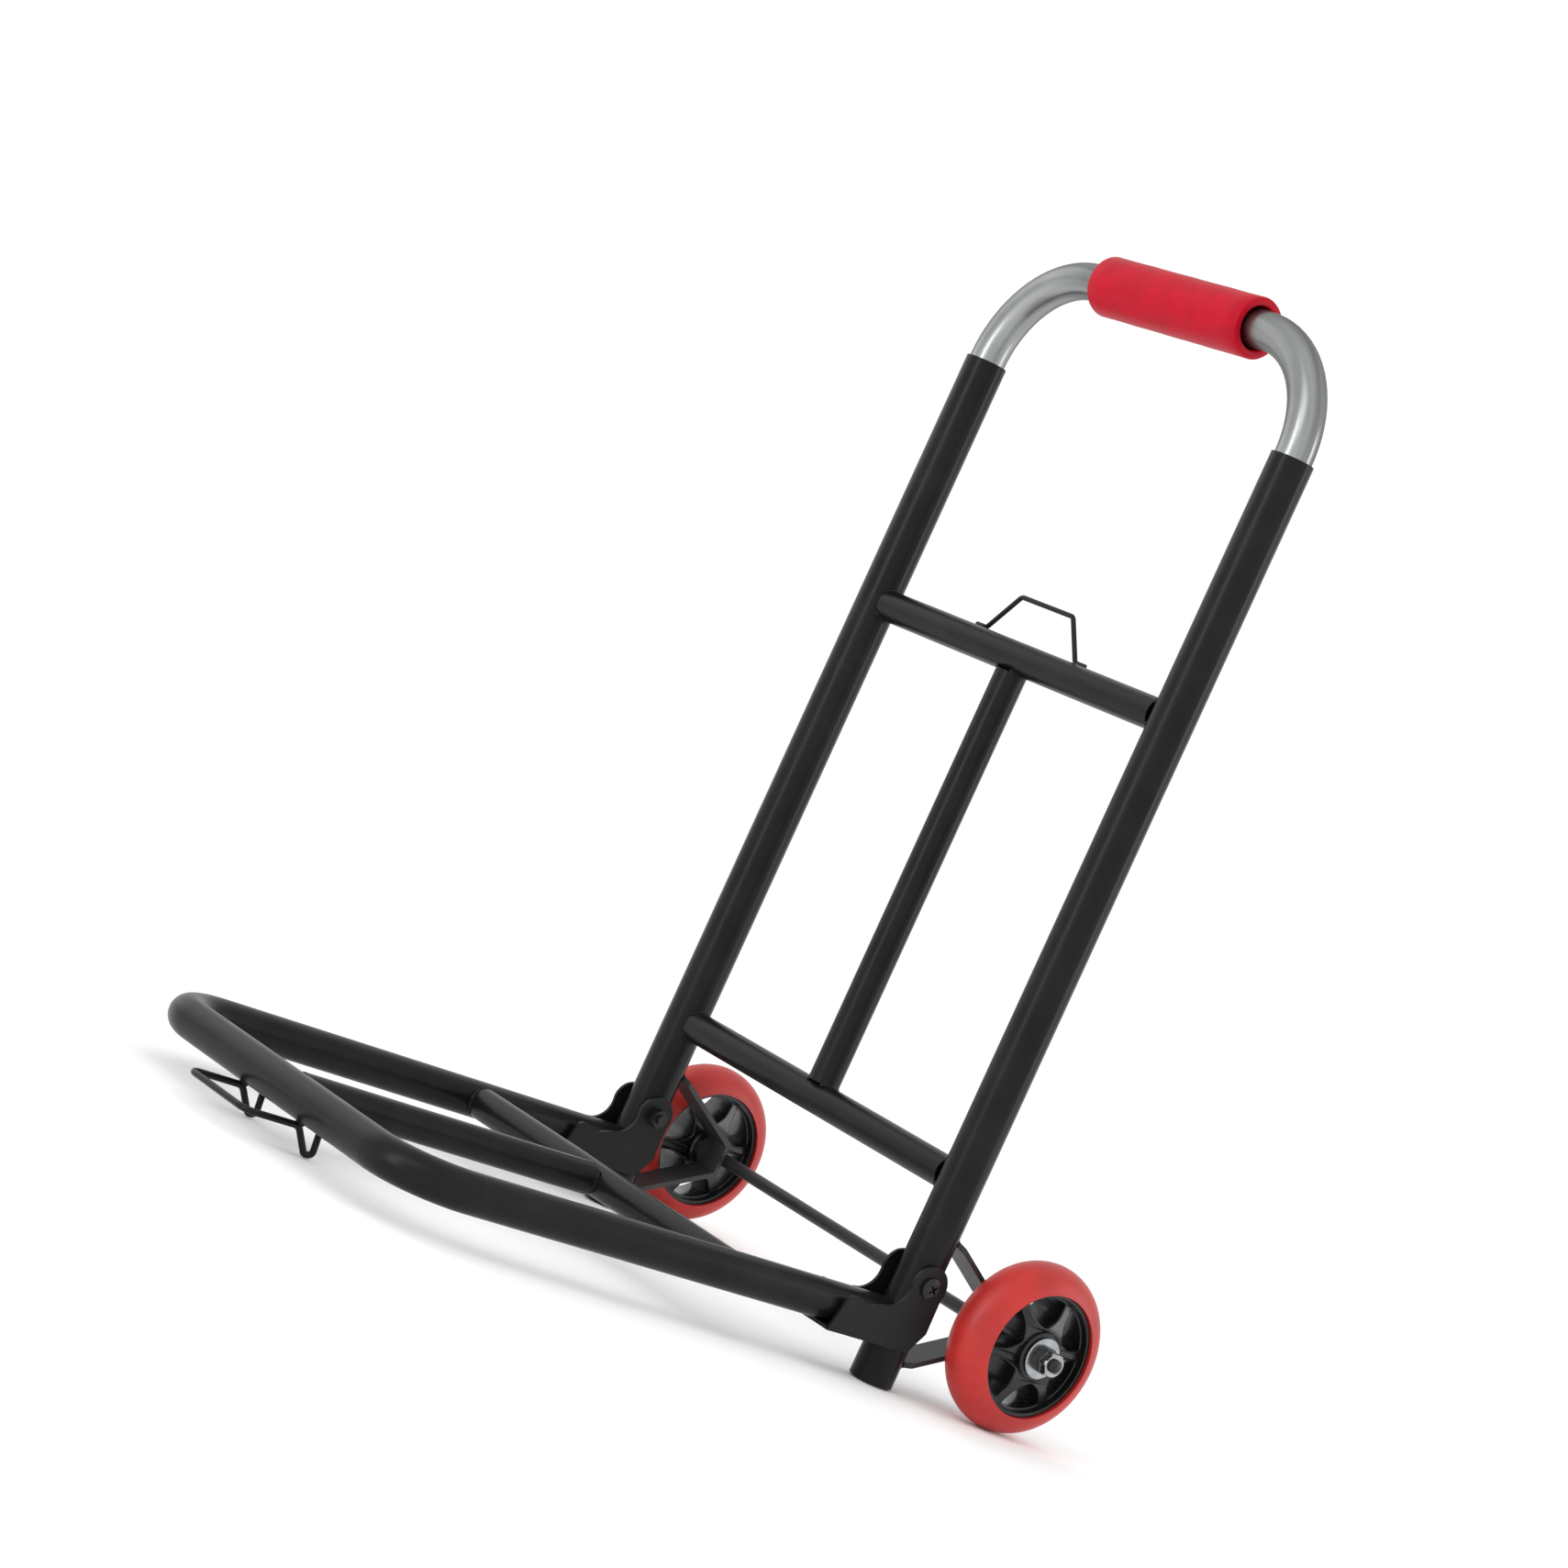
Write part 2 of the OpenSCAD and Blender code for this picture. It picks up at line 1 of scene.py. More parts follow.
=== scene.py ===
import bpy
import math
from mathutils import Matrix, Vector


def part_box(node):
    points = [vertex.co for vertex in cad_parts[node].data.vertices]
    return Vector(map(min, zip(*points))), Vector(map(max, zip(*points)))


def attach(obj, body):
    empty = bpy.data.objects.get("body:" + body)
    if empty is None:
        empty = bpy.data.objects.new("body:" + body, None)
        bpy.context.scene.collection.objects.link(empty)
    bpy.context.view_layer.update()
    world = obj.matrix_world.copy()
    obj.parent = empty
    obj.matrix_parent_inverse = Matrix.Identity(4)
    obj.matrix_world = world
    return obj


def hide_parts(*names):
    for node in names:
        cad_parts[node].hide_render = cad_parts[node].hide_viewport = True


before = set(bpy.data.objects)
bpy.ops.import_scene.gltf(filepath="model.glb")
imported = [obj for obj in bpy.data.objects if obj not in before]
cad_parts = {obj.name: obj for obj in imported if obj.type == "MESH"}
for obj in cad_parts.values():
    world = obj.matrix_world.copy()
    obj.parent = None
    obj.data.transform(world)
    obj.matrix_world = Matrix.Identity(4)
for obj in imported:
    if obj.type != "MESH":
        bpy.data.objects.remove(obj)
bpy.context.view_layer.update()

# ---- Uprights ----
# Two round steel tubes, the cart's backbone, open below and at the top where the handle slides in.
# They carry a satin black powder coat with a fine orange peel and some dust in it.
def finish(name, colour, rough, metal=0.0, spread=0.25, patch=60, grain=900, bump=0.00002,
           stretch=(1, 1, 1), rough_spread=0.08, specular=0.5, coat=0.0, edge=(1, 1, 1)):
    mat = bpy.data.materials.new(name)
    mat.use_nodes = True
    nodes, links = mat.node_tree.nodes, mat.node_tree.links
    bsdf = nodes["Principled BSDF"]
    bsdf.inputs["Metallic"].default_value = metal
    bsdf.inputs["Specular IOR Level"].default_value = specular
    bsdf.inputs["Coat Weight"].default_value = coat
    bsdf.inputs["Specular Tint"].default_value = list(edge) + [1]
    coord = nodes.new("ShaderNodeTexCoord")
    mapping = nodes.new("ShaderNodeMapping")
    mapping.inputs["Scale"].default_value = stretch
    links.new(coord.outputs["Object"], mapping.inputs["Vector"])
    broad = nodes.new("ShaderNodeTexNoise")
    broad.inputs["Scale"].default_value = patch
    broad.inputs["Detail"].default_value = 5
    links.new(mapping.outputs["Vector"], broad.inputs["Vector"])
    ramp = nodes.new("ShaderNodeValToRGB")
    ramp.color_ramp.elements[0].position = 0.3
    ramp.color_ramp.elements[1].position = 0.72
    ramp.color_ramp.elements[0].color = [c * (1 - spread) for c in colour] + [1]
    ramp.color_ramp.elements[1].color = [min(c * (1 + spread), 1) for c in colour] + [1]
    links.new(broad.outputs["Fac"], ramp.inputs["Fac"])
    rubbed = nodes.new("ShaderNodeTexNoise")
    rubbed.inputs["Scale"].default_value = patch * 0.35
    rubbed.inputs["Detail"].default_value = 8
    rubbed.inputs["Roughness"].default_value = 0.7
    links.new(coord.outputs["Object"], rubbed.inputs["Vector"])
    rub_ramp = nodes.new("ShaderNodeValToRGB")
    rub_ramp.color_ramp.elements[0].position = 0.64
    rub_ramp.color_ramp.elements[1].position = 0.72
    links.new(rubbed.outputs["Fac"], rub_ramp.inputs["Fac"])
    worn = nodes.new("ShaderNodeMix")
    worn.data_type = "RGBA"
    worn.inputs["B"].default_value = [min(c * 1.25 + 0.004, 1) for c in colour] + [1]
    links.new(rub_ramp.outputs["Color"], worn.inputs["Factor"])
    links.new(ramp.outputs["Color"], worn.inputs["A"])
    links.new(worn.outputs["Result"], bsdf.inputs["Base Color"])
    spots = nodes.new("ShaderNodeMapRange")
    spots.inputs["To Min"].default_value = rough - rough_spread
    spots.inputs["To Max"].default_value = rough + rough_spread
    links.new(broad.outputs["Fac"], spots.inputs["Value"])
    links.new(spots.outputs["Result"], bsdf.inputs["Roughness"])
    fine = nodes.new("ShaderNodeTexNoise")
    fine.inputs["Scale"].default_value = grain
    fine.inputs["Detail"].default_value = 3
    links.new(mapping.outputs["Vector"], fine.inputs["Vector"])
    relief = nodes.new("ShaderNodeBump")
    relief.inputs["Strength"].default_value = 0.6
    relief.inputs["Distance"].default_value = bump
    links.new(fine.outputs["Fac"], relief.inputs["Height"])
    links.new(relief.outputs["Normal"], bsdf.inputs["Normal"])
    return mat


def dress(mat, *node_names):
    for node_name in node_names:
        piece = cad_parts[node_name]
        piece.data.materials.clear()
        piece.data.materials.append(mat)
        for poly in piece.data.polygons:
            poly.material_index = 0


black_coat = finish("black_powder_coat", (0.0078, 0.0079, 0.0083), 0.31, spread=0.3, patch=35,
                    grain=1600, bump=0.00003, specular=0.15)
dress(black_coat, "upright_left", "upright_right")
upright_lo, upright_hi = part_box("upright_right")
upright_r = (upright_hi.x - upright_lo.x) / 2
side_x = (upright_lo.x + upright_hi.x) / 2
line_y = (upright_lo.y + upright_hi.y) / 2

# ---- Crossbars and centre tube ----
# Thinner tubes cut square and welded between the uprights, then coated together with them.
# Each square end touches its neighbour on two sides and is welded there; the gaps between stay open.
def sweep(name, path, radii, sides=10):
    count = len(path)
    rings, faces = [], []
    normal = None
    for i in range(count):
        along = (path[min(i + 1, count - 1)] - path[max(i - 1, 0)]).normalized()
        normal = along.orthogonal() if normal is None else normal - along * normal.dot(along)
        normal.normalize()
        across = along.cross(normal)
        for k in range(sides):
            turn = 2 * math.pi * k / sides
            rings.append(path[i] + radii[i] * (math.cos(turn) * normal + math.sin(turn) * across))
    for i in range(count - 1):
        j = i + 1
        for k in range(sides):
            m = (k + 1) % sides
            faces.append((i * sides + k, i * sides + m, j * sides + m, j * sides + k))
    faces.append(tuple(reversed(range(sides))))
    faces.append(tuple(range((count - 1) * sides, count * sides)))
    mesh = bpy.data.meshes.new(name)
    mesh.from_pydata([tuple(v) for v in rings], [], faces)
    mesh.polygons.foreach_set("use_smooth", [True] * len(faces))
    piece = bpy.data.objects.new(name, mesh)
    bpy.context.scene.collection.objects.link(piece)
    return piece


def weld(name, path, width, body):
    ripple = [width * (1 + 0.13 * math.sin(i * 1.9) + 0.1 * math.sin(i * 0.61 + len(name)))
              for i in range(len(path))]
    ripple[0] = ripple[-1] = width * 0.35
    bead = sweep(name, path, ripple)
    bead.data.materials.append(black_coat)
    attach(bead, body)


weld_reach = math.radians(50)


def ring_weld(name, centre, bar_axis, tube_axis, bar_r, tube_r, width, body):
    across = tube_axis.cross(bar_axis)
    for word, middle in (("a", 0.0), ("b", math.pi)):
        path = []
        for i in range(25):
            turn = middle + weld_reach * (i / 12 - 1)
            off = bar_r * math.sin(turn)
            out = (math.sqrt(tube_r ** 2 - off ** 2) + tube_r) / 2
            path.append(centre + bar_axis * out + across * off + tube_axis * bar_r * math.cos(turn))
        weld(name + "_" + word, path, width, body)


X, Z = Vector((1, 0, 0)), Vector((0, 0, 1))
dress(black_coat, "upper_crossbar", "lower_crossbar", "centre_tube")
bar_lo, bar_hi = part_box("upper_crossbar")
bar_r = (bar_hi.z - bar_lo.z) / 2
bar_weld_w = 0.0014
centre_weld_w = 0.0012
for level in ("upper", "lower"):
    low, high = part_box(level + "_crossbar")
    bar_z = (low.z + high.z) / 2
    for side, word in ((-1, "left"), (1, "right")):
        ring_weld("weld_%s_bar_%s" % (level, word), Vector((side * side_x, line_y, bar_z)),
                  -side * X, Z, bar_r - 0.0002, upright_r, bar_weld_w, "back_frame")
    ring_weld("weld_centre_tube_" + level, Vector((0, line_y, bar_z)),
              -Z if level == "upper" else Z, X, bar_r - 0.0006, bar_r, centre_weld_w, "back_frame")

# ---- Cord hook ----
# Bent wire with a flat top that an elastic cord hooks onto, its feet laid along the upper crossbar.
# Each foot is held by a short tack weld.
hook_coat = finish("hook_coat", (0.006, 0.006, 0.0063), 0.32, spread=0.2, patch=90, grain=2200,
                   bump=0.00002, specular=0.2)
dress(hook_coat, "cord_hook")
cord_lo, cord_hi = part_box("cord_hook")
tack_step = 0.0011
foot_weld_w = 0.0017
for side, word in ((-1, "left"), (1, "right")):
    foot = [Vector((side * (cord_hi.x - 0.0085 + tack_step * i), cord_hi.y - 0.0024, cord_lo.z + 0.0006))
            for i in range(8)]
    weld("weld_cord_hook_" + word, foot, foot_weld_w, "back_frame")

# ---- Wheel straps ----
# Flat steel bars bent to a tray shape behind each upright, corners clipped, both ends welded on.
# They hold the axle rod behind the frame; their black coat is painted lighter than the tubes' as painted
# light, standing in for the light their flat faces catch.
# Painted light: the straps' base colour is set about four times lighter than the tubes' black coat,
# standing in for the light on their flat faces.
strap_painted_light_coat = finish("strap_painted_light_coat", (0.034, 0.034, 0.035), 0.4, spread=0.18, patch=50, grain=1500,
                    bump=0.00003, specular=0.3)
dress(strap_painted_light_coat, "wheel_strap_left", "wheel_strap_right")
strap_weld_w = 0.0015
for side, word in ((-1, "left"), (1, "right")):
    low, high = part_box("wheel_strap_" + word)
    half = (high.x - low.x) / 2 - 0.004
    middle = (low.x + high.x) / 2
    for end, z in (("top", high.z - 0.0002), ("low", low.z + 0.0002)):
        seam = []
        for i in range(15):
            off = half * (i / 7 - 1)
            seam.append(Vector((middle + off, line_y + math.sqrt(upright_r ** 2 - off ** 2), z)))
        weld("weld_strap_%s_%s" % (word, end), seam, strap_weld_w, "back_frame")

# ---- Axle rod ----
# One long steel rod welded across the backs of both straps, with a cut thread at each end.
# Rod and thread carry one blackened, slightly oily finish.
def lathe(name, profile, centre, mirror=1, steps=96, closed=False):
    verts, faces = [], []
    count = len(profile)
    for k in range(steps):
        turn = 2 * math.pi * k / steps
        for x, r in profile:
            verts.append((centre.x + mirror * x, centre.y + r * math.cos(turn),
                          centre.z + r * math.sin(turn)))
    for k in range(steps):
        m = (k + 1) % steps
        for i in range(count if closed else count - 1):
            j = (i + 1) % count
            quad = (k * count + i, k * count + j, m * count + j, m * count + i)
            faces.append(quad if mirror > 0 else tuple(reversed(quad)))
    mesh = bpy.data.meshes.new(name)
    mesh.from_pydata(verts, [], faces)
    mesh.polygons.foreach_set("use_smooth", [True] * len(faces))
    mesh.set_sharp_from_angle(angle=math.radians(32))
    piece = bpy.data.objects.new(name, mesh)
    bpy.context.scene.collection.objects.link(piece)
    return piece


rod_lo, rod_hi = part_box("axle_rod")
rod_r = (rod_hi.z - rod_lo.z) / 2
axle = (rod_lo + rod_hi) / 2
rod_end = rod_hi.x
thread_from = rod_end - 0.02
thread_pitch = 0.00115
rod_weld_w = 0.0013
profile = [(rod_end, 0.0), (rod_end, 0.0021), (rod_end - 0.0006, 0.0031)]
x = rod_end - 0.0011
while x > thread_from:
    profile += [(x, rod_r - 0.0001), (x - 0.0005, rod_r - 0.0007)]
    x -= thread_pitch
profile += [(thread_from - 0.001, rod_r)]
half_rod = profile + [(-px, pr) for px, pr in reversed(profile)]
rod = lathe("axle_rod_shown", half_rod, Vector((0, axle.y, axle.z)), steps=40)
rod_steel = finish("rod_steel", (0.016, 0.016, 0.017), 0.36, metal=0.25, spread=0.3, patch=70,
                   grain=1200, bump=0.00003, specular=0.4)
rod.data.materials.append(rod_steel)
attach(rod, "back_frame")
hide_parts("axle_rod")
for side, word in ((-1, "left"), (1, "right")):
    low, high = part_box("wheel_strap_" + word)
    for above in (-1, 1):
        seam = [Vector((low.x + 0.003 + (high.x - low.x - 0.006) * i / 12, high.y + 0.0008,
                        axle.z + above * (rod_r - 0.0004))) for i in range(13)]
        weld("weld_rod_%s_%s" % (word, "top" if above > 0 else "low"), seam, rod_weld_w, "back_frame")

# ---- Tyres ----
# Solid red rubber cast round the hub, full and round in section, with a faint sheen.
# Small moulding nubs are left on the tread.
tyre_rubber = finish("red_tyre", (0.43, 0.021, 0.0175), 0.4, spread=0.13, patch=45, grain=1400,
                     bump=0.00004, rough_spread=0.07, specular=0.36)
dress(tyre_rubber, "tyre_left", "tyre_right")
tyre_lo, tyre_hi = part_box("tyre_right")
wheel_r = (tyre_hi.z - tyre_lo.z) / 2
wheel_x = (tyre_lo.x + tyre_hi.x) / 2
nub_root = wheel_r - 0.0009
for side, word in ((-1, "left"), (1, "right")):
    for i, (angle, offset) in enumerate(((2.2, 0.004), (3.0, -0.002), (5.1, 0.003))):
        out = Vector((0, math.cos(angle), math.sin(angle)))
        spot = Vector((side * (wheel_x + offset), axle.y, axle.z)) + out * nub_root
        nub = sweep("nub_%s_%d" % (word, i), [spot, spot + out * 0.0005], [0.0009, 0.0006], sides=8)
        nub.data.materials.append(tyre_rubber)
        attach(nub, word + "_wheel")

# ---- Hubs ----
# Moulded black plastic: a rim the tyre sits on, six spokes that flare into the boss, open between.
# Glossy from the mould, with a faint unevenness in the surface.
hub_plastic = finish("hub_plastic", (0.006, 0.006, 0.0064), 0.27, spread=0.2, patch=80, grain=700,
                     bump=0.00003, specular=0.4, coat=0.05)
hub_lo, hub_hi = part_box("hub_right")
hub_half = (hub_hi.x - hub_lo.x) / 2
rim_r = (hub_hi.z - hub_lo.z) / 2
spoke_count = 6
spoke_turn = math.radians(12)
window_inner = 0.0158
window_outer = 0.0332
web_r = 0.0346
web_depth = 0.0195
web_round = 0.0009
web_lean = 0.0046


def spoke_half(r):
    near = max(0.0, (0.0255 - r) / 0.0098)
    far = max(0.0, (r - 0.0295) / 0.004)
    return 0.0022 + 0.0047 * near ** 2 + 0.0009 * far ** 2


def window(index):
    middle = spoke_turn + (index + 0.5) * 2 * math.pi / spoke_count
    reach = math.pi / spoke_count
    side = []
    for i in range(13):
        r = window_inner + (window_outer - window_inner) * i / 12
        side.append((r, max(reach - math.asin(spoke_half(r) / r), 0.02)))
    out_arc = [(window_outer, side[-1][1] * (1 - 2 * i / 12)) for i in range(1, 12)]
    in_arc = [(window_inner, -side[0][1] * (1 - 2 * i / 6)) for i in range(1, 6)]
    loop = side + out_arc + [(r, -a) for r, a in reversed(side)] + in_arc
    return [(r * math.cos(middle + a), r * math.sin(middle + a)) for r, a in loop]


def star_web(name, centre):
    curve = bpy.data.curves.new(name, "CURVE")
    curve.dimensions = "2D"
    curve.fill_mode = "BOTH"
    curve.extrude = web_depth / 2 - web_round
    curve.bevel_depth = web_round
    curve.bevel_resolution = 2
    outline = [(web_r * math.cos(2 * math.pi * i / 96), web_r * math.sin(2 * math.pi * i / 96))
               for i in range(96)]
    for loop in [outline] + [window(i) for i in range(spoke_count)]:
        spline = curve.splines.new("POLY")
        spline.points.add(len(loop) - 1)
        for point, (u, v) in zip(spline.points, loop):
            point.co = (u, v, 0, 1)
        spline.use_cyclic_u = True
    holder = bpy.data.objects.new(name + "_curve", curve)
    bpy.context.scene.collection.objects.link(holder)
    mesh = bpy.data.meshes.new_from_object(holder.evaluated_get(bpy.context.evaluated_depsgraph_get()))
    bpy.data.objects.remove(holder)
    mesh.name = name
    for v in mesh.vertices:
        u, w, x = v.co
        radius = math.hypot(u, w)
        lean = web_lean * max(0.0, (0.033 - radius) / 0.0172)
        v.co = (centre.x + x + (math.copysign(lean, x) if abs(x) > web_depth * 0.3 else 0.0),
                centre.y + u, centre.z + w)
    mesh.polygons.foreach_set("use_smooth", [True] * len(mesh.polygons))
    mesh.set_sharp_from_angle(angle=math.radians(40))
    piece = bpy.data.objects.new(name, mesh)
    bpy.context.scene.collection.objects.link(piece)
    return piece


for side, word in ((-1, "left"), (1, "right")):
    centre = Vector((side * wheel_x, axle.y, axle.z))
    rim = lathe("hub_rim_" + word,
                [(-0.0135, rim_r), (0.0128, rim_r), (0.0138, rim_r - 0.0005), (0.0138, rim_r - 0.0018),
                 (0.0132, rim_r - 0.0023), (0.0, rim_r - 0.0036), (-0.0135, rim_r - 0.0023)],
                centre, side, closed=True)
    boss = lathe("hub_boss_" + word,
                 [(-hub_half, rod_r + 0.0001), (-hub_half, 0.0125), (-hub_half + 0.001, 0.0137),
                  (0.0, 0.0145), (hub_half - 0.0062, 0.0148), (hub_half - 0.001, 0.0142),
                  (hub_half, 0.0132), (hub_half, rod_r + 0.0001)], centre, side, closed=True)
    web = star_web("hub_web_" + word, centre)
    for piece in (rim, boss, web):
        piece.data.materials.append(hub_plastic)
        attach(piece, word + "_wheel")
    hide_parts("hub_" + word)

# ---- Axle washers, spacer rings and nuts ----
# Bright zinc washers and hex nuts hold each wheel on, with a dark ring between washer and nut.
# The washers' edges are dished by the punch and the nuts' corners are turned off.
zinc = finish("zinc_plate", (0.34, 0.355, 0.365), 0.22, metal=1.0, spread=0.14, patch=160, grain=1800,
              bump=0.00002, rough_spread=0.1)
dark_ring = finish("ring_steel", (0.07, 0.07, 0.072), 0.34, metal=0.8, spread=0.3, patch=200,
                   grain=1500, bump=0.00003)
dress(zinc, "inner_washers")
dress(dark_ring, "spacer_rings")
washer_lo, washer_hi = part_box("outer_washers")
washer_r = (washer_hi.z - washer_lo.z) / 2
washer_t = 0.0016
nut_lo, nut_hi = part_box("axle_nuts")
nut_r = (nut_hi.z - nut_lo.z) / 2
nut_flat = nut_r if (nut_hi.y - nut_lo.y) > (nut_hi.z - nut_lo.z) else nut_r * math.cos(math.pi / 6)
nut_end = nut_hi.x
nut_t = 0.0064
for side, word in ((-1, "left"), (1, "right")):
    centre = Vector((0, axle.y, axle.z))
    out = washer_hi.x
    washer = lathe("outer_washer_" + word,
                   [(out - washer_t, rod_r + 0.0001), (out - washer_t, washer_r - 0.0006),
                    (out - washer_t + 0.0004, washer_r), (out - 0.0005, washer_r),
                    (out, washer_r - 0.0007), (out, rod_r + 0.0001)], centre, side, closed=True)
    washer.data.materials.append(zinc)
    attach(washer, "back_frame")
    verts, faces = [], []
    rows = [(nut_end - nut_t, 0.0), (nut_end - nut_t + 0.0006, 1.0), (nut_end - 0.0008, 1.0),
            (nut_end, 0.0)]
    steps = 72
    for k in range(steps):
        turn = 2 * math.pi * (k + 0.5) / steps
        to_corner = (turn - math.pi / 6 if nut_flat == nut_r else turn) % (math.pi / 3) - math.pi / 6
        hex_r = nut_flat / math.cos(to_corner) if abs(to_corner) <= math.pi / 6 else nut_flat
        for x, full in rows:
            r = min(hex_r, nut_flat + (0.0001 if full == 0.0 else 1.0))
            verts.append((side * x, centre.y + r * math.cos(turn), centre.z + r * math.sin(turn)))
        for x, r in ((nut_end, rod_r), (nut_end - nut_t, rod_r)):
            verts.append((side * x, centre.y + r * math.cos(turn), centre.z + r * math.sin(turn)))
    for k in range(steps):
        m = (k + 1) % steps
        for i, j in ((0, 1), (1, 2), (2, 3), (3, 4), (4, 5), (5, 0)):
            quad = (k * 6 + i, k * 6 + j, m * 6 + j, m * 6 + i)
            faces.append(quad if side > 0 else tuple(reversed(quad)))
    mesh = bpy.data.meshes.new("axle_nut_" + word)
    mesh.from_pydata(verts, [], faces)
    mesh.polygons.foreach_set("use_smooth", [True] * len(faces))
    mesh.set_sharp_from_angle(angle=math.radians(25))
    nut = bpy.data.objects.new("axle_nut_" + word, mesh)
    bpy.context.scene.collection.objects.link(nut)
    nut.data.materials.append(zinc)
    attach(nut, "back_frame")
    if side > 0:
        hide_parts("outer_washers")
        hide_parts("axle_nuts")

# ---- Handle ----
# One plated steel tube bent to a U, its legs sliding in the uprights.
# Drawn and plated, so its bump has faint lines along its length and it has small duller spots; the light
# and dark streaks along its length in the base colour are painted reflection bands, and its grey edge
# tint is painted shade for the darker surroundings reflected at its edges.
# Painted reflection: stretched noise streaks the base colour light and dark along the tube's length, and
# the grey edge tint darkens its grazing reflection as painted shade.
plated = finish("plated_tube", (0.29, 0.3, 0.295), 0.3, metal=1.0, spread=0.36, patch=170, grain=600,
                bump=0.000008, stretch=(0.05, 1, 0.05), rough_spread=0.05, edge=(0.45, 0.46, 0.46))
dress(plated, "handle_tube")

# ---- Leg plugs, leaf springs and snap buttons ----
# Inside each leg a folded spring pushes a steel button out through the leg, and a plug closes it.
# All three are hidden in the uprights until the handle is pulled out.
nylon = finish("plug_nylon", (0.012, 0.012, 0.012), 0.5, spread=0.2, patch=90, grain=1500)
spring_steel = finish("spring_steel", (0.32, 0.33, 0.34), 0.35, metal=1.0, spread=0.15, patch=120)
button_steel = finish("button_steel", (0.5, 0.51, 0.52), 0.25, metal=1.0, spread=0.1, patch=150)
dress(nylon, "leg_plugs")
dress(spring_steel, "button_springs")
dress(button_steel, "snap_button_left", "snap_button_right")

# ---- Grip ----
# Soft crimson sleeve pushed loosely over the top of the handle, thick walled and open at both ends.
# Its edges are rounded and its skin has a fine foam grain.
grip_skin = finish("grip_skin", (0.43, 0.0015, 0.015), 0.46, spread=0.1, patch=70, grain=2600,
                   bump=0.00006, rough_spread=0.06, specular=0.12)
grip_lo, grip_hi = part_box("grip")
grip_r = (grip_hi.z - grip_lo.z) / 2
grip_centre = (grip_lo + grip_hi) / 2
grip_half = (grip_hi.x - grip_lo.x) / 2
grip_bore = 0.0127
sleeve_profile = [(-grip_half + 0.0001, grip_bore + 0.0008), (-grip_half, grip_bore + 0.0016),
                  (-grip_half, grip_r - 0.0018), (-grip_half + 0.0005, grip_r - 0.0006),
                  (-grip_half + 0.0018, grip_r)]
for i in range(1, 12):
    sleeve_profile.append((-grip_half + 2 * grip_half * i / 12,
                           grip_r - 0.00015 * math.sin(i * 2.1) ** 2))
sleeve_profile += [(grip_half - 0.0018, grip_r), (grip_half - 0.0005, grip_r - 0.0006),
                   (grip_half, grip_r - 0.0018), (grip_half, grip_bore + 0.0016),
                   (grip_half - 0.0001, grip_bore + 0.0008), (grip_half - 0.0012, grip_bore),
                   (-grip_half + 0.0012, grip_bore)]
sleeve = lathe("grip_sleeve", sleeve_profile, grip_centre, closed=True)
sleeve.data.materials.append(grip_skin)
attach(sleeve, "grip")
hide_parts("grip")

# ---- Platform tubes ----
# One tube bent to a wide U with a cross tube and a centre tube welded into it, the load bed.
# Coated black like the frame, and sloping slightly down to the front.
dress(black_coat, "platform_tube", "platform_cross_tube", "platform_centre_tube")
slope = math.radians(1.5)
ahead = Vector((0, -math.cos(slope), -math.sin(slope)))
upward = Vector((0, -math.sin(slope), math.cos(slope)))
rail_r = 0.0111
front_reach = 0.22
front_weld_w = 0.0013
cross_lo, cross_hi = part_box("platform_cross_tube")
cross_mid = (cross_lo + cross_hi) / 2
for side, word in ((-1, "left"), (1, "right")):
    ring_weld("weld_cross_" + word, Vector((side * side_x, cross_mid.y, cross_mid.z)),
              -side * X, ahead, bar_r - 0.0002, rail_r, bar_weld_w, "platform")
ring_weld("weld_spine_rear", cross_mid, ahead, X, bar_r - 0.0006, bar_r, centre_weld_w, "platform")
front_bar = cross_mid + ahead * front_reach
ring_weld("weld_spine_front", front_bar, -ahead, X, bar_r - 0.0002, rail_r, front_weld_w, "platform")

# ---- Front hook ----
# A single bent wire under the front bar: a loop ahead of it for a cord, and two feet that stand
# on the ground. Tack welded to the bar on each side.
def bend(points, radii, steps=8):
    path = [points[0]]
    for i in range(1, len(points) - 1):
        back_way = (points[i - 1] - points[i]).normalized()
        next_way = (points[i + 1] - points[i]).normalized()
        cut = radii[i - 1] / math.tan(back_way.angle(next_way) / 2)
        for k in range(steps + 1):
            t = k / steps
            path.append(points[i] + back_way * cut * (1 - t) ** 2 + next_way * cut * t ** 2)
    return path + [points[-1]]


hook_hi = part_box("front_hook")[1]
wire_r = 0.0019
wire_weld_w = 0.0018
leg_x = hook_hi.x - wire_r
leg = [(-0.0112, -0.006), (-0.0132, -0.0262), (-0.0078, -0.0262), (0.0018, -0.0127), (0.036, -0.0127)]
right_leg = [front_bar + ahead * out + upward * up + X * leg_x for out, up in leg]
left_leg = [Vector((-p.x, p.y, p.z)) for p in reversed(right_leg)]
leg_bends = [0.0032, 0.0032, 0.006, 0.008]
wire_path = bend(right_leg + left_leg, leg_bends + leg_bends[::-1])
hook_wire = sweep("front_hook_wire", wire_path, [wire_r] * len(wire_path), sides=20)
hook_wire.data.materials.append(hook_coat)
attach(hook_wire, "platform")
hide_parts("front_hook")
for side, word in ((-1, "left"), (1, "right")):
    for spot, back, drop in (("front", -0.0015, 0.0112), ("rear", 0.0096, 0.0062)):
        centre = front_bar - ahead * back - upward * drop
        tack = [centre + X * (side * leg_x + tack_step * (i - 3)) for i in range(7)]
        weld("weld_front_hook_%s_%s" % (word, spot), tack, wire_weld_w, "platform")

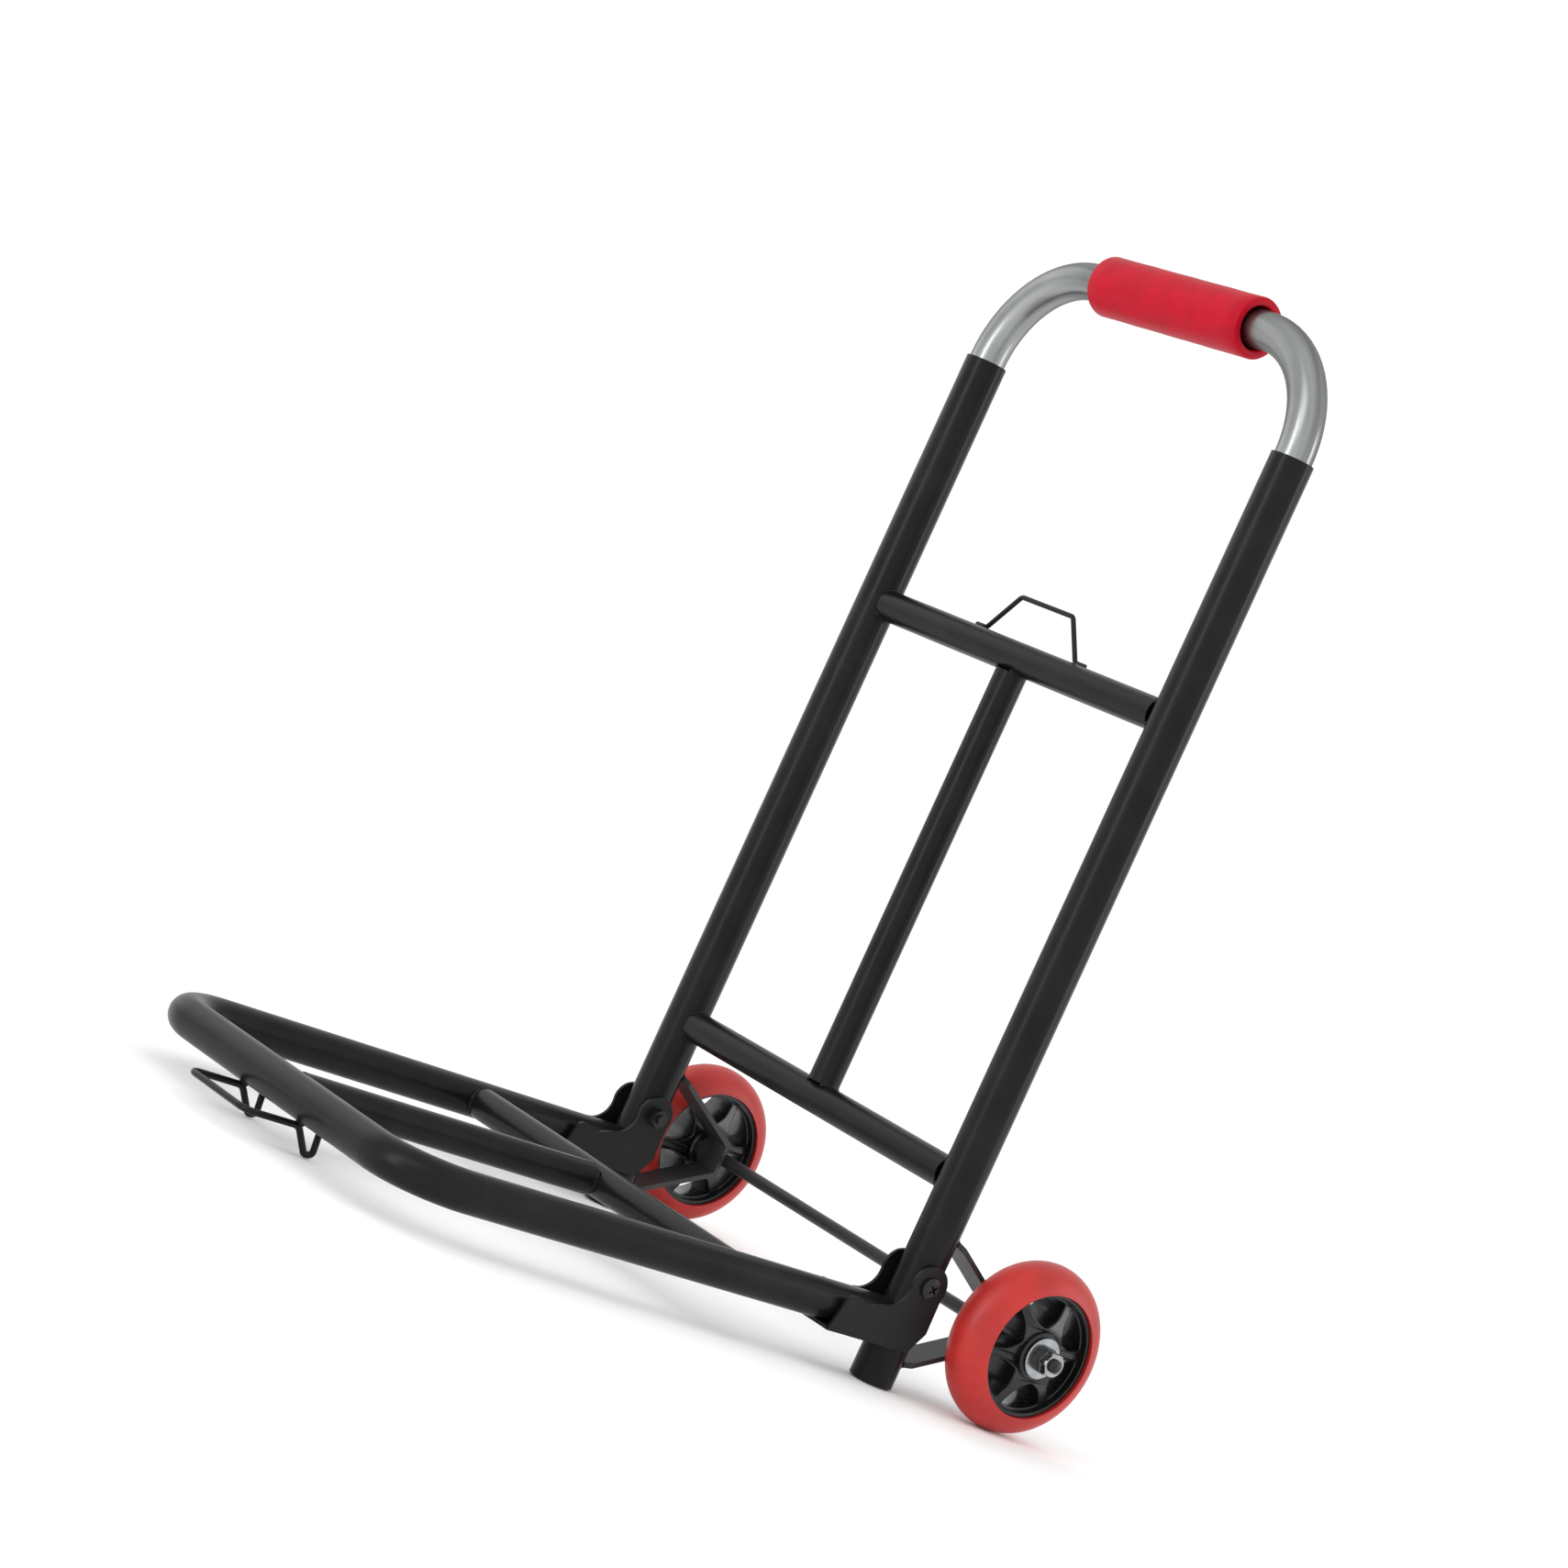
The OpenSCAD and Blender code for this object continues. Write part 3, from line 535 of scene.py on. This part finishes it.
# ---- Hinge brackets ----
# Pressed steel channels that wrap each upright and the rail's end, and swing with the platform.
# Welded along the rail on both faces, and coated black with the platform.
sheet_coat = finish("sheet_coat", (0.0085, 0.0085, 0.0088), 0.38, spread=0.2, patch=45, grain=1500,
                    bump=0.00004, specular=0.16)
dress(sheet_coat, "hinge_bracket_left", "hinge_bracket_right")
pivot_z = 0.0618
pivot_ahead = 0.002
cheek_x = 0.0117
seam_drop = 0.0212
seam_start = 0.03
seam_step = 0.0016
bracket_weld_w = 0.0015
pivot = Vector((0, line_y - pivot_ahead, pivot_z))
for side, word in ((-1, "left"), (1, "right")):
    for face, x in (("inner", side_x - cheek_x), ("outer", side_x + cheek_x)):
        centre = pivot + X * side * x - upward * seam_drop
        seam = [centre + ahead * (seam_start + seam_step * i) for i in range(13)]
        weld("weld_bracket_%s_%s" % (word, face), seam, bracket_weld_w, "platform")

# ---- Hinge bolts and nuts ----
# A round-headed screw with a cross recess through each bracket and upright, with a hex nut inside.
# Blackened steel, slightly oily.
bolt_black = finish("bolt_black", (0.012, 0.012, 0.012), 0.33, metal=0.3, spread=0.25, patch=150,
                    grain=1600, bump=0.00002, specular=0.45)
dress(bolt_black, "hinge_bolts", "hinge_nuts")

# ---- Floor, light and camera ----
# A plain pale floor under an even white sky, with soft lamps above and two tall strip lamps.
# The floor is wide enough that its far edge never shows.
floor_half = 30
floor_z = -0.0002
floor_mesh = bpy.data.meshes.new("floor")
floor_mesh.from_pydata([(-floor_half, -floor_half, floor_z), (floor_half, -floor_half, floor_z),
                        (floor_half, floor_half, floor_z), (-floor_half, floor_half, floor_z)],
                       [], [(0, 1, 2, 3)])
floor = bpy.data.objects.new("floor", floor_mesh)
bpy.context.scene.collection.objects.link(floor)
pale = bpy.data.materials.new("pale_floor")
pale.use_nodes = True
pale.node_tree.nodes["Principled BSDF"].inputs["Base Color"].default_value = (0.975, 0.975, 0.975, 1)
pale.node_tree.nodes["Principled BSDF"].inputs["Roughness"].default_value = 0.9
floor.data.materials.append(pale)
world = bpy.data.worlds.new("studio")
world.use_nodes = True
world.node_tree.nodes["Background"].inputs["Color"].default_value = (1.0, 1.0, 1.0, 1)
world.node_tree.nodes["Background"].inputs["Strength"].default_value = 1.05
bpy.context.scene.world = world
bpy.context.scene.view_settings.view_transform = "Standard"
target = Vector((0, 0.02, 0.28))
for name, place, width, height, power in (("key_lamp", (0.6, -2.2, 1.9), 1.4, 1.4, 10),
                                          ("side_lamp", (-2.2, -0.8, 1.2), 1.6, 1.6, 5),
                                          ("left_strip", (0.2, -2.4, 0.5), 0.45, 1.9, 16),
                                          ("right_strip", (1.4, 2.0, 0.5), 0.4, 1.9, 11)):
    lamp = bpy.data.objects.new(name, bpy.data.lights.new(name, "AREA"))
    lamp.data.shape = "RECTANGLE"
    lamp.data.size = width
    lamp.data.size_y = height
    lamp.data.energy = power
    lamp.location = place
    lamp.rotation_euler = (target - Vector(place)).to_track_quat("-Z", "Y").to_euler()
    bpy.context.scene.collection.objects.link(lamp)
camera = bpy.data.objects.new("camera", bpy.data.cameras.new("camera"))
camera.data.sensor_width = 36
camera.data.lens = 94.326
camera.location = (1.79431, -1.40853, 0.31668)
camera.rotation_euler = (1.55232, -0.429, 0.90902)
bpy.context.scene.collection.objects.link(camera)
bpy.context.scene.camera = camera
